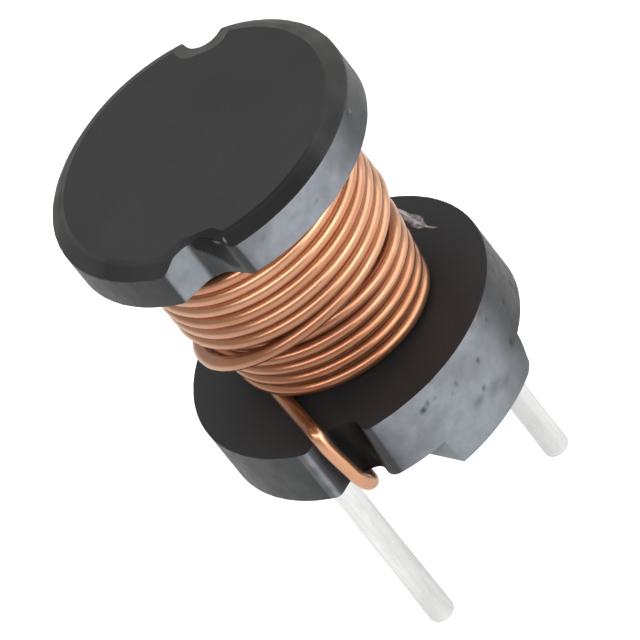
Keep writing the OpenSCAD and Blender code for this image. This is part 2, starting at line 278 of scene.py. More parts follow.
def flange(big_r, profile, low, high, notches, inset):
    """The levels of a flange. Its upper face starts inset from the edge of each notch."""
    levels = [outline(big_r, profile[0][0] - RING_W, EDGE_R + RING_W, low, notches)]
    levels += [outline(big_r, r, edge_grow(z, low, high), z, notches) for r, z in profile]
    levels.append(outline(big_r, profile[-1][0] - RING_W, inset, high, notches))
    return levels


# Marks on the rims: azimuth, height, size round the rim, size up, depth, and how much
# darker they are, or lighter where it is less than nothing
DENTS = [
    (-111.8, 1.91, 0.10, 0.09, 0.055, 1.0), (-109.3, 1.99, 0.05, 0.08, 0.030, 0.8),
    (-106.2, 1.96, 0.05, 0.05, 0.015, 0.5), (-85.6, 1.66, 0.07, 0.06, 0.030, 1.0),
    (-97.5, 1.79, 0.05, 0.07, 0.010, 0.6), (-100.4, 1.70, 0.05, 0.05, 0.010, 0.5),
    (-94.5, 0.95, 0.20, 0.12, 0.004, 0.45), (-87.0, 0.82, 0.26, 0.20, 0.004, 0.40),
    (-82.0, 0.62, 0.22, 0.16, 0.004, 0.35), (-90.4, 1.06, 0.07, 0.08, 0.010, 0.8),
    (-89.2, 1.04, 0.03, 0.05, 0.0, -1.4), (-69.4, 0.97, 0.10, 0.10, 0.025, 0.7),
    (-72.1, 2.02, 0.06, 0.06, 0.02, 0.6), (-59.4, 1.62, 0.07, 0.07, 0.02, 0.6),
    (-73.0, 2.30, 0.12, 0.07, 0.03, 0.4), (-79.0, 2.33, 0.16, 0.05, 0.02, 0.3),
    (-104.0, 2.36, 0.12, 0.04, 0.015, 0.3), (-52.0, 2.33, 0.14, 0.05, 0.02, 0.4),
    (-46.0, 1.30, 0.10, 0.12, 0.02, 0.5), (172.0, 2.32, 0.14, 0.06, 0.02, 0.4),
    (120.0, 1.1, 0.2, 0.14, 0.03, 0.6), (84.0, 2.33, 0.16, 0.06, 0.02, 0.4),
    (5.0, 1.3, 0.14, 0.12, 0.03, 0.6), (-20.0, 0.95, 0.2, 0.10, 0.03, 0.6),
    (-63.3, 8.58, 0.05, 0.04, 0.02, 0.8), (-60.9, 8.52, 0.04, 0.03, 0.0, -0.8),
    (-96.0, 8.20, 0.07, 0.05, 0.01, 0.4), (-76.0, 8.02, 0.06, 0.04, 0.01, 0.3),
    (-132.3, 8.86, 0.10, 0.028, 0.0, -1.1), (-129.4, 8.885, 0.035, 0.05, 0.0, -0.8),
    (-118.0, 8.45, 0.09, 0.06, 0.01, 0.25), (60.0, 8.40, 0.14, 0.10, 0.03, 0.6),
    (150.0, 8.60, 0.16, 0.09, 0.03, 0.6), (-30.0, 7.88, 0.16, 0.05, 0.02, 0.4),
]
# How far a mark's slope reaches, in its own sizes, and how ragged the sharp edges are
DENT_REACH, RAGGED = 1.6, 0.016
# Where painted light lies on the rims: azimuth, reach before and after it, and how light it is
RIM_PAINTED_LIGHT = ((-104.0, 25.0, 31.0, 1.0), (28.0, 40.0, 40.0, 0.55), (110.0, 30.0, 35.0, 0.45))
# How much painted light lies on the chamfer, by azimuth: hardly at the front, most at the back
CHAMFER_PAINTED_LIGHT = ((-180, 0.07), (-150, 0.08), (-138, 0.0), (-96, 0.0), (-80, 0.08), (-60, 0.14), (-36, 0.28),
          (-12, 0.45), (12, 0.55), (60, 0.55), (120, 0.5), (150, 0.28), (180, 0.07))
# The chip in the near top notch, as it lies across the notch, and its depth
CHIP_START, CHIP_END, CHIP_FADE, CHIP_DEPTH = -0.12, 0.75, 0.12, 0.03
# The bar: the round at the foot of its ends, how far they draw back under the flange, how far the far
# corner is worn, how far its top goes into the flange, and how much narrower its near side is at the
# root and at the foot
END_R, TUCK, CORNER_WEAR, BAR_SUNK, NEAR_ROOT, NEAR_FOOT = 0.11, 0.03, 0.10, 0.25, 0.2, 0.02


def lumps(p):
    return 0.004 * value_noise(p, 1.1, 3.0) + 0.0022 * value_noise(p, 5.0, 9.0)


def rim_painted_light(verts, normals):
    """Painted light on the rims: lightest where they face the front, with soft patches elsewhere."""
    upright = np.hypot(normals[:, 0], normals[:, 1])[:, None] > 0.3
    az = azimuth(np.where(upright, normals, verts))
    light = np.zeros(len(verts))
    for middle, before, after, level in RIM_PAINTED_LIGHT:
        da = turn_from(az, middle)
        light = np.maximum(light, level * np.exp(-np.where(da < 0, (da / before) ** 6, (da / after) ** 4)))
    patch = patches(verts, 0.8, 17.0) + 0.5 * patches(verts, 2.4, 21.0)
    return np.clip(light * (1 + 0.35 * patch) + 0.07 * patch, 0, 1.2)


def chamfer_painted_light(verts):
    # Painted light on the chamfer by azimuth, a little patchy
    level = np.interp(azimuth(verts), *zip(*CHAMFER_PAINTED_LIGHT))
    return np.clip(level * (1 + 0.5 * patches(verts, 2.0, 41.0)), 0, 1)


def weathered(verts, normals, big_r):
    """Presses small pits into the rims and leaves the pressed surface a little uneven."""
    verts = verts.copy()
    spots = np.zeros(len(verts))
    az = azimuth(verts)
    on_rim = np.hypot(verts[:, 0], verts[:, 1]) > big_r - 0.5
    for middle, z, wide, tall, depth, dark in DENTS:
        d = np.hypot(np.radians(turn_from(az, middle)) * big_r / wide, (verts[:, 2] - z) / tall)
        near = (d < DENT_REACH) & on_rim
        push = depth * np.clip(1 - d / DENT_REACH, 0, 1) ** 1.5
        verts[near] -= normals[near] * push[near, None]
        spots[near] += np.clip(1.25 - d[near], 0, 1) * dark
    for i, p in enumerate(verts):
        flatness = abs(normals[i][2])
        verts[i] += normals[i] * lumps(p) * (1 - flatness)
        # The sharp edges are a little ragged
        edge = smooth(2.5 * min(flatness, 1 - flatness))
        verts[i] -= normals[i] * edge * RAGGED * max(0.0, value_noise(p, 4.5, 31.0))
    return verts, np.clip(spots, -1, 1)


def in_notch(verts, az):
    """Distances out and across, seen from a notch."""
    out = verts[:, 0] * cos(az) + verts[:, 1] * sin(az)
    across = -verts[:, 0] * sin(az) + verts[:, 1] * cos(az)
    return out, across


def chipped(verts, spots):
    """The broken upper edge of the notch in the top flange that faces the front left."""
    az, shape, _ = NOTCHES["top"][1]
    out, across = in_notch(verts, az)
    inward = out - (TOP_R - shape[1])
    # The break runs down across the notch's wall, with a ragged foot
    foot = RIM_Z + 0.06 - 1.45 * np.clip(across + 0.1, 0, 0.55) + 0.07 * patches(verts, 3.0, 4.0)
    broken = np.clip((verts[:, 2] - foot) / (TOP_Z - foot), 0, 1)
    on = (across > CHIP_START) & (across < CHIP_END) & (verts[:, 2] < TOP_Z)
    on &= (inward > -0.05) & (inward < 0.36)
    fade = rise(np.minimum(across - CHIP_START, CHIP_END - across), CHIP_FADE)
    back = np.where(on, broken * fade * CHIP_DEPTH, 0)
    verts[:, 0] -= back * cos(az)
    verts[:, 1] -= back * sin(az)
    dark = np.clip(broken * 12, 0, 1) * np.clip(fade * 2, 0, 1)
    # The light marks stay on top of it
    return verts, np.where(on & (spots > -0.1), np.maximum(spots, dark), spots)


def notch_painted_shade_and_highlight(verts, spots):
    """Painted shade inside the wire's notches in the base, and a painted highlight along one mouth."""
    radius = np.hypot(verts[:, 0], verts[:, 1])
    ragged = 0.75 + 0.5 * patches(verts, 4.0, 51.0)
    for az, _, _ in NOTCHES["base"]:
        out, across = in_notch(verts, az)
        # Painted shade, deepest towards the notch's floor and on the wall at the wire's side
        depth = rise(BASE_R - 0.1 - out, 0.18) * rise(NOTCH_HALF + 0.12 - np.abs(across), 0.2)
        wire_side = (across < -0.25) & (verts[:, 1] < 0)
        depth = np.where(wire_side, 0.82 * rise(BASE_R - 0.04 - radius, 0.04), depth)
        spots = np.where(out > 0, np.maximum(spots, depth), spots)
        # A painted highlight along the round of the mouth on the wire's side
        line = np.clip(1.4 - np.abs(BASE_R - 0.025 - radius) / 0.018, 0, 1)
        line = line * (across < -0.4) * (across > -1.0) * (out > 0)
        spots = np.where(line > 0.05, -0.9 * line * ragged, spots)
    return verts, spots


def bar_end(x, z):
    """How far out the end of the bar stands: flush with the rim, and under it higher up."""
    low = min(1.0, max(0.0, 1 - z / END_R))
    tuck = smooth((z - FLANGE_Z - 0.06) / 0.1)
    r = BASE_R + 0.001 - TUCK * tuck - END_R * (1 - math.sqrt(max(0.0, 1 - low * low)))
    # The corner at the far foot is worn round
    r -= CORNER_WEAR * smooth((x - 1.15) / 0.5) * smooth(1 - z / 0.9) ** 2
    return math.sqrt(r * r - x * x)


def bar_mesh():
    """The standoff bar: drafted sides, round foot edges, and ends that carry on the rim. The
    near side is a little narrower. Gives the points, the faces and the spots."""
    foot = BAR_ROOT - FLANGE_Z * math.tan(math.radians(BAR_DRAFT))
    corners = [(foot, BAR_ROOT), (foot - NEAR_FOOT, BAR_ROOT - NEAR_ROOT)]
    sides = [soften([(0, 0), (low, 0), (root, FLANGE_Z), (root, FLANGE_Z + BAR_SUNK)], [FOOT_R, 0.02],
                    steps=6, spacing=0.09) for low, root in corners]
    short = min(len(side) for side in sides)
    far, near = (resampled(side, short) for side in sides)
    profile = np.concatenate([far, near[:0:-1] * (-1, 1)])
    steps, columns, count = 60, 40, len(profile)
    verts = [(x, (2 * j / steps - 1) * bar_end(x, z), z) for j in range(steps + 1) for x, z in profile]
    faces = []
    for j in range(steps):
        for k in range(count):
            m = (k + 1) % count
            faces.append((j * count + k, (j + 1) * count + k, (j + 1) * count + m, j * count + m))
    # The ends are filled with a grid of points, so that they stay curved
    for end, base in ((-1, 0), (1, steps * count)):
        grid = []
        for i in range(1, short):
            left, right = base + count - i, base + i
            a, b = verts[left], verts[right]
            row = [left]
            for c in range(1, columns):
                x, z = (a[n] + (b[n] - a[n]) * c / columns for n in (0, 2))
                row.append(len(verts))
                verts.append((x, end * bar_end(x, z), z))
            grid.append(row + [right])
        for low, high in zip(grid, grid[1:]):
            for c in range(columns):
                faces.append(wound((low[c], low[c + 1], high[c + 1], high[c]), end > 0))
        faces.append(wound([base] + grid[0][::-1], end > 0))
    verts = np.array(verts)
    outward = verts * (1, 1, 0)
    outward /= np.maximum(np.linalg.norm(outward, axis=1), 0.001)[:, None]
    on_end = np.hypot(verts[:, 0], verts[:, 1]) > BASE_R - 0.2
    verts, spots = weathered(verts, outward * on_end[:, None], BASE_R)
    return verts, faces, spots


def flange_worn_and_painted(levels, big_r, marked):
    """A flange with its wear and painted light: points, faces, their materials, spots and painted light.
    marked() adds what only this flange has: the chip on the top, painted shade and a painted highlight in
    the base's notches."""
    v, f = loft(levels)
    n = vertex_normals(v, f)
    chamfer = (v[:, 2] > RIM_Z - 0.01) & (n[:, 2] > 0.35)
    level = np.where(chamfer, CHAMFER, np.where(np.abs(n[:, 2]) > 0.9, FACE, RIM))
    slots = [FACE if len(q) > 4 else int(level[list(q)].min()) for q in f]
    v, spots = marked(*weathered(v, n, big_r))
    return v, f, slots, spots, rim_painted_light(v, n)


def drum(materials):
    """The ferrite core as one piece."""
    rim, corners = BASE_R - 0.1, [EDGE_R, EDGE_R]
    profile = soften([(rim, FLANGE_Z), (BASE_R, FLANGE_Z), (BASE_R, DECK_Z), (rim, DECK_Z)], corners)
    base = flange(BASE_R, profile, FLANGE_Z, DECK_Z, NOTCHES["base"], EDGE_R + RING_W)
    profile = soften([(TOP_R - 0.1, CEILING_Z), (TOP_R, CEILING_Z), (TOP_R, RIM_Z),
                      (TOP_R - CHAMFER_W, TOP_Z), (TOP_R - CHAMFER_W - 0.1, TOP_Z)], [EDGE_R, 0.05, 0.07])
    top = flange(TOP_R, profile, CEILING_Z, TOP_Z, NOTCHES["top"], TOP_INSET)
    pieces = [flange_worn_and_painted(base, BASE_R, notch_painted_shade_and_highlight), flange_worn_and_painted(top, TOP_R, chipped)]
    # The barrel and the bar go a little way into the flanges
    ends = (DECK_Z - SUNK, CEILING_Z + SUNK)
    v, f = loft([np.array([polar(BARREL_R, a, z) for a in range(0, 360, 5)]) for z in ends])
    slots = [FACE if len(q) > 4 else RIM for q in f]
    pieces.append((v, f, slots, np.zeros(len(v)), rim_painted_light(v, v * (1, 1, 0))))
    v, f, spots = bar_mesh()
    pieces.append((v, f, [RIM] * len(f), spots, rim_painted_light(v, v * (1, 1, 0))))
    verts, faces = joined([piece[:2] for piece in pieces])
    slots = [slot for piece in pieces for slot in piece[2]]
    obj = make("drum", verts, faces, materials, "drum_core", slots)
    carry(obj, "spot", np.concatenate([piece[3] for piece in pieces]))
    # Painted light on the rims, then painted light on the chamfer
    carry(obj, "rim_painted_light", np.concatenate([piece[4] for piece in pieces]))
    carry(obj, "chamfer_painted_light", chamfer_painted_light(verts))
    obj.data.set_sharp_from_angle(angle=math.radians(32))


# The winding, along the same path as in the source

WIRE_R = WIRE_D / 2
OUTER_R = WINDING_D / 2 - WIRE_R
UNDER_R = OUTER_R - WIRE_D - TURN_GAP
OUTER_PITCH, UNDER_PITCH = WIRE_D + TURN_GAP, WIRE_D + UNDER_GAP
FRONT_AZ, RUN_IN, SURFACING, CLIMB, CROSS_BLEND, LEAVE = -115, 150, 60, 120, 80, 345
UNDER_Z0 = DECK_Z + WIRE_R + BOTTOM_GAP
OUTER_Z0 = CEILING_Z - WIRE_R - TOP_GAP
CROSS_Z = OUTER_Z0 - (OUTER_TURNS + 1) * OUTER_PITCH
SWELL_Z, COVER_Z = CROSS_Z - 1.7 * WIRE_D, CROSS_Z - WIRE_R / 2
LEAD_Z = DECK_Z + WIRE_R + 2 * SLIT
CLIMB_TURNS = math.floor((OUTER_Z0 - UNDER_Z0) / UNDER_PITCH) + 1
CLIMB_END = RUN_IN - 90 + 360 * CLIMB_TURNS
CLIMB_START = CLIMB_END - CLIMB
FIRST_FRONT = CLIMB_END + 90
LAST_FRONT = FIRST_FRONT + 360 * OUTER_TURNS
# Points of a lead on its way down the notch: out of the notch's floor and up the flange, as shares
# of their sizes, then across, towards where it came in and towards the pin
LEAD_SHAPE = [(0.25, 1.13, 1.00, 0), (0.53, 0.85, 0.75, 0.04), (0.67, 0.36, 0.32, 0.16),
              (0.62, 0.11, 0.17, 0.21), (0.42, -0.07, 0.07, 0.24), (0.03, -0.17, 0.02, 0.31)]
LEAD_SIDE, ENTRY_SIDE = NOTCH_HALF - WIRE_R, NOTCH_HALF
ENTRY_OUT = BASE_R - NOTCH_DEPTH - WIRE_R
SOLDER_R = PIN_R + SOLDER_T
TAIL_Z = -(FLANGE_Z - SOLDER_LOW) / 2
ENTRY_R = math.hypot(ENTRY_OUT, ENTRY_SIDE)
ENTRY_TURN = math.degrees(math.atan2(ENTRY_SIDE, ENTRY_OUT))
FINISH_ARC = math.degrees(math.acos(min(1, OUTER_R / ENTRY_R)))
TOUCH = LAST_FRONT + 720 + FRONT_AZ - NOTCH_AZ - ENTRY_TURN - FINISH_ARC
DROP_START = LAST_FRONT + LEAVE
WIRE_SIDES, TURN_STEP, SPLINE_STEPS = 16, 4.0, 8
# How much of the wire's end is tinned, and over what length the tin fades
TIN_END, TIN_FADE = 1.15, 0.35
# The patch of painted shade: its middle and its reach round the coil, its top, and how much it covers
PAINTED_SHADE_AZ, PAINTED_SHADE_REACH, PAINTED_SHADE_TOP, PAINTED_SHADE_SHARE = -130, 40, 7.2, 0.72


def under_r(z, az):
    tapered = UNDER_R + UNDER_SWELL - UNDER_TAPER * (SWELL_Z - min(z, SWELL_Z))
    bare = tapered + UNDER_LEAN * cos(az - FRONT_AZ - 90)
    return bare + (UNDER_R - bare) * smooth((z - SWELL_Z) / (COVER_Z - SWELL_Z))


def under_z(t):
    return UNDER_Z0 + UNDER_PITCH * (t - RUN_IN) / 360 + UNDER_TILT * sin(t - RUN_IN)


def regular_z(t):
    return OUTER_Z0 - OUTER_PITCH * (t - FIRST_FRONT) / 360 - OUTER_TILT * sin(t - FIRST_FRONT)


SLANT = 2 * math.tan(math.radians(FINISH_ARC)) / math.radians(TOUCH - DROP_START)
TOUCH_Z = (LEAD_Z + SLANT * regular_z(TOUCH)) / (1 + SLANT)
DROP_RATE = (regular_z(TOUCH) - TOUCH_Z) / (TOUCH - DROP_START) ** 2
SLEEVE_R = under_r(UNDER_Z0, FRONT_AZ) - WIRE_R - UNDER_LEAN - 3 * SLIT
WIRE_END_R = SLEEVE_R - WIRE_R - 2 * SLIT


def outer_z(t):
    return regular_z(t) - DROP_RATE * max(0, t - DROP_START) ** 2


def wire_point(t):
    """The middle of the wire, by how far it has turned round the drum."""
    az = FRONT_AZ + RUN_IN - t
    if t < CLIMB_START:
        z = under_z(t)
        r = WIRE_END_R + (under_r(z, az) - WIRE_END_R) * smooth(t / SURFACING)
    elif t < CLIMB_END:
        mix = smooth((t - CLIMB_START) / CLIMB)
        z = under_z(CLIMB_START) + (outer_z(CLIMB_END) - under_z(CLIMB_START)) * mix
        r = UNDER_R + (OUTER_R - UNDER_R) * mix
    else:
        z = outer_z(t)
        over = under_r(z, az) + WIRE_D + TURN_GAP
        lift = smooth((t - LAST_FRONT - 360 + CROSS_BLEND) / CROSS_BLEND)
        settle = smooth((TOUCH - t) / CROSS_BLEND)
        r = OUTER_R + (over - OUTER_R) * lift * settle
    return polar(r, az, z)


def notch_point(az, out, across, up):
    return polar(out, az, FLANGE_Z + up) + polar(across, az - 90, 0)


def lead_points(az, pin_x, enter_side):
    """The way of a lead from the coil over the deck's edge, down the notch and in to its pin."""
    base_h, tail_z = DECK_Z - FLANGE_Z, FLANGE_Z + TAIL_Z
    points = [notch_point(az, ENTRY_OUT, enter_side * ENTRY_SIDE, LEAD_Z - FLANGE_Z)]
    for out, up, enter, to_pin in LEAD_SHAPE:
        across = LEAD_SIDE * (enter_side * enter + to_pin)
        points.append(notch_point(az, BASE_R - NOTCH_DEPTH * (1 - out), across, base_h * up))
    tail = ((SOLDER_R + 0.65, tail_z + WIRE_R / 3), (SOLDER_R + WIRE_R, tail_z), (PIN_R + 2 * SLIT, tail_z))
    return points + [np.array([pin_x, math.copysign(y, pin_x), z]) for y, z in tail]


def spline(p):
    """A smooth curve through points."""
    out = []
    for i in range(len(p) - 1):
        a, b, c, d = p[max(0, i - 1)], p[i], p[i + 1], p[min(len(p) - 1, i + 2)]
        for s in range(SPLINE_STEPS):
            t = s / SPLINE_STEPS
            out.append(0.5 * (2 * b + (c - a) * t + (2 * a - 5 * b + 4 * c - d) * t * t
                              + (3 * b - a - 3 * c + d) * t ** 3))
    return out + [p[-1]]


def straight(a, b, n):
    return [a + (b - a) * k / n for k in range(1, n)]


def tube(path):
    """The wire along a path, as rings with the least twist."""
    ahead = np.roll(path, -1, 0) - np.roll(path, 1, 0)
    ahead[0], ahead[-1] = path[1] - path[0], path[-1] - path[-2]
    ahead /= np.linalg.norm(ahead, axis=1)[:, None]
    n = np.array([0.0, 0.0, 1.0])
    angles = np.radians(np.arange(WIRE_SIDES) * 360 / WIRE_SIDES)
    rings = []
    for p, d in zip(path, ahead):
        n = n - d * n.dot(d)
        n /= np.linalg.norm(n)
        b = np.cross(d, n)
        rings.append(p + WIRE_R * (np.cos(angles)[:, None] * n + np.sin(angles)[:, None] * b))
    return loft(rings)


def hand_laid(p, t):
    """The small unevenness of a turn laid by a machine: some thousandths of a millimetre."""
    push = 0.010 * noise.noise(Vector((t / 47.0, 1.7, 0.3)))
    push += 0.006 * noise.noise(Vector((t / 13.0, 1.7, 5.3)))
    lift = 0.010 * noise.noise(Vector((t / 61.0, 1.7, 9.7)))
    flat = np.array([p[0], p[1], 0.0])
    return p + flat / np.linalg.norm(flat) * push + np.array([0, 0, lift])


def painted_front_shade(verts):
    """Where brown painted shade lies on the coil: round the front of its lower turns."""
    da = turn_from(azimuth(verts), PAINTED_SHADE_AZ)
    low = np.array([smooth((PAINTED_SHADE_TOP - z) / 3.0) for z in verts[:, 2]])
    on_coil = verts[:, 2] > DECK_Z + 0.25
    return PAINTED_SHADE_SHARE * low * np.exp(-(da / PAINTED_SHADE_REACH) ** 4) * on_coil


def coil_path():
    """From the wire's hidden start in the under layer to the finish pin."""
    travel = list(np.arange(0, CLIMB_START, TURN_STEP)) + list(np.arange(CLIMB_START, TOUCH - 2, TURN_STEP))
    turns = [hand_laid(wire_point(t), t) for t in travel] + [wire_point(TOUCH)]
    lead = lead_points(NOTCH_AZ, PIN_X, -1)
    return np.array(turns + straight(turns[-1], lead[0], 5) + spline(lead))


def start_path():
    """From under the turns to the start pin."""
    az = NOTCH_AZ - 180
    lead = lead_points(az, -PIN_X, 1)
    touch_az = az - ENTRY_TURN - math.degrees(math.acos(SLEEVE_R / ENTRY_R))
    dive = [polar(SLEEVE_R + (WIRE_END_R - SLEEVE_R) * smooth(s / 3), touch_az - 10 * s, LEAD_Z)
            for s in (3, 2, 1)]
    touch = polar(SLEEVE_R, touch_az, LEAD_Z)
    return np.array(spline(dive + [touch] + straight(touch, lead[0], 4) + lead))


def sleeve():
    """The inner layers, seen only as a ridged sleeve between the flanges and the turns."""
    low, inner_r, sides = DECK_Z + SLIT, BARREL_R + 0.02, 72
    ridges = int((CEILING_Z - DECK_Z - 2 * SLIT) / WIRE_D)
    pitch = (CEILING_Z - DECK_Z - 2 * SLIT) / ridges
    profile = [(inner_r, low)]
    for i in range(ridges):
        for a in range(0, 181, 30):
            r = SLEEVE_R - pitch / 2 * 0.8 * (1 - sin(a))
            profile.append((r, low + pitch * (i + 0.5 - 0.499 * cos(a))))
    profile.append((inner_r, CEILING_Z - SLIT))
    verts = np.array([polar(r, k * 360 / sides, z) for r, z in profile for k in range(sides)])
    faces = []
    for i in range(len(profile)):
        a, b = i * sides, (i + 1) % len(profile) * sides
        for k in range(sides):
            m = (k + 1) % sides
            faces.append((a + k, a + m, b + m, b + k))
    return verts, faces


def winding(wire, hidden):
    """The whole coil as one piece: the wire with both its leads, and the inner layers."""
    strands, tones, tins = [], [], []
    for path, seed in ((coil_path(), 0.0), (start_path(), 7.0)):
        run = run_of(path)
        strands.append(tube(path))
        tones.append(np.repeat([noise.noise(Vector((s / 21.0, seed, 0.5))) for s in run], WIRE_SIDES))
        tins.append(np.repeat([smooth((TIN_END - s) / TIN_FADE) for s in run[-1] - run], WIRE_SIDES))
    inner = sleeve()
    verts, faces = joined(strands + [inner])
    slots = [0] * (len(faces) - len(inner[1])) + [1] * len(inner[1])
    obj = make("turns", verts, faces, [wire, hidden], "winding", slots)
    bare = [np.zeros(len(inner[0]))]
    carry(obj, "tone", np.concatenate(tones + bare))
    carry(obj, "tin", np.concatenate(tins + bare))
    # Brown painted shade round the front of the lower turns
    carry(obj, "front_shade_share", painted_front_shade(verts))


# Pins, solder and glue

# The round of a pin's tip, its foot, and how much thicker the tin is at the lowest part
TIP_R, TIP_FOOT, TIN_RUN = 0.13, 0.02, 0.005


def revolved(profile, sides, x, shape):
    """A solid of revolution round an upright axis at x, whose points shape() may push about. It
    starts and ends on the axis."""
    verts = [(x, 0, profile[0][1])]
    for r, z in profile[1:-1]:
        for k in range(sides):
            a = 360 * k / sides
            verts.append(shape(np.array([x + r * cos(a), r * sin(a), z]), a, r))
    verts.append((x, 0, profile[-1][1]))
    rows = len(profile) - 2
    last = 1 + (rows - 1) * sides
    faces = []
    for k in range(sides):
        m = (k + 1) % sides
        faces.append((0, 1 + m, 1 + k))
        for i in range(rows - 1):
            a, b = 1 + i * sides, 1 + (i + 1) * sides
            faces.append((a + k, a + m, b + m, b + k))
        faces.append((last + k, last + m, len(verts) - 1))
    return np.array(verts), faces


def pushed(p, x, distance):
    """A point moved away from the upright axis at x."""
    away = np.array([p[0] - x, p[1], 0])
    return p + away / np.linalg.norm(away) * distance


def pin(name, x, material, node, seed):
    """A pin of hot-tinned wire. Its upper part, in the core, is tapered."""
    foot = -PIN_REACH + TIP_FOOT
    profile = [(0, -PIN_REACH), (PIN_R * 0.45, -PIN_REACH + 0.004), (PIN_R - TIP_R, foot)]
    for a in range(15, 91, 15):
        profile.append((PIN_R - TIP_R + TIP_R * sin(a), foot + TIP_R * 1.15 * (1 - cos(a))))
    profile += [(PIN_R, z) for z in np.arange(-PIN_REACH + 0.25, -0.01, 0.09)]
    profile += [(PIN_R - PIN_TAPER * z / PIN_TOP_Z, z) for z in (0, 0.5, 1.0, 1.5, PIN_TOP_Z)]
    profile.append((0, PIN_TOP_Z))

    def shape(p, a, r):
        if p[2] > 0 or r < 0.1:
            return p
        coat = 0.0035 * noise.noise(Vector((2.2 * cos(a), 2.2 * sin(a) + seed, p[2] * 0.8)))
        coat += 0.0015 * noise.noise(Vector((6 * cos(a), 6 * sin(a) + seed, p[2] * 3)))
        # The lowest part is a little thicker, where the tin ran down and set
        coat += TIN_RUN * smooth((-p[2] - PIN_REACH + 1.5) / 1.0)
        return pushed(p, x, coat - 0.006)

    v, f = revolved(profile, 40, x, shape)
    make(name, v, f, [material], node)


def solder(name, x, material, node, seed):
    """A collar of solder with two soft ridges from the wire's wraps under it."""
    low, high, steps = SOLDER_LOW, FLANGE_Z - SLIT, 26
    wave = []
    for s in range(steps + 1):
        t = 1 - s / steps
        bulge = 0.42 + 0.58 * math.sqrt(max(0.0, sin(180 * t)))
        wave.append((PIN_R + SOLDER_T * bulge - SOLDER_T / 10 * cos(360 * t) ** 4, high - (high - low) * t))
    profile = [(0, low), (PIN_R + 0.01, low)] + wave + [(PIN_R + 0.01, high), (0, high)]

    def shape(p, a, r):
        if r < PIN_R + 0.02:
            return p
        lift = 0.020 * noise.noise(Vector((1.6 * cos(a), 1.6 * sin(a), p[2] * 3 + seed)))
        ridge = 0.012 * sin(360 * (p[2] - low) / WIRE_D + a)
        inside = smooth((p[2] - low) / 0.12) * smooth((high - p[2]) / 0.12)
        return pushed(p, x, (lift + ridge - 0.025) * inside)

    v, f = revolved(profile, 56, x, shape)
    make(name, v, f, [material], node)


def glue(material):
    """A thin smear of dried glue on the deck: a thread from behind the coil that widens to a blot
    and runs out in a tail. Its spine is a list of azimuth, radius and half width."""
    spine = [(19.5, 3.62, 0.05), (17.9, 3.55, 0.05), (12.5, 3.46, 0.06), (5.8, 3.285, 0.10),
             (2.1, 3.215, 0.15), (-1.7, 3.165, 0.19), (-5.0, 3.12, 0.15), (-8.2, 3.115, 0.06),
             (-12.0, 3.16, 0.035), (-15.2, 3.24, 0.012)]
    path = np.array(spline([polar(r, az, DECK_Z) for az, r, _ in spine]))
    half = np.interp(np.linspace(0, 1, len(path)), np.linspace(0, 1, len(spine)), [w for _, _, w in spine])
    ahead = np.gradient(path, axis=0)
    ahead /= np.linalg.norm(ahead, axis=1)[:, None]
    across = np.cross([0, 0, 1], ahead)
    wide, rows = 17, len(path)
    verts, thick = [], []
    for i, (p, n, w) in enumerate(zip(path, across, half)):
        s = i / (rows - 1)
        for k in range(wide):
            u = 2 * k / (wide - 1) - 1
            edge = 1 + 0.30 * noise.noise(Vector((s * 16, 3.3 * (1 if u > 0 else -1), 0)))
            body = 0.6 + 0.8 * noise.noise(Vector((s * 11, u * 1.5, 3)))
            x, y, _ = p + n * u * w * edge
            verts.append((x, y, DECK_Z + 0.002 + 0.020 * (1 - u * u) ** 0.8 * max(0.15, body)))
            film = max(0.2, 0.55 + 0.9 * noise.noise(Vector((s * 9, u * 2, 8))))
            thick.append(min(1.0, 1.5 * (1 - abs(u)) ** 0.7 * film))
    under = len(verts)
    verts += [(x, y, DECK_Z + 0.0005) for x, y, _ in verts]
    faces = []
    for i in range(rows - 1):
        for k in range(wide - 1):
            a = i * wide + k
            faces.append((a, a + wide, a + wide + 1, a + 1))
            faces.append((under + a, under + a + 1, under + a + wide + 1, under + a + wide))
        for k, flip in ((0, False), (wide - 1, True)):
            a, b = i * wide + k, (i + 1) * wide + k
            faces.append(wound((a, under + a, under + b, b), flip))
    for i, flip in ((0, True), (rows - 1, False)):
        for k in range(wide - 1):
            a = i * wide + k
            faces.append(wound((a, a + 1, under + a + 1, under + a), flip))
    obj = make("glue_smear", verts, faces, [material], "glue_trail")
    carry(obj, "thick", thick + [0.0] * under)


# Materials

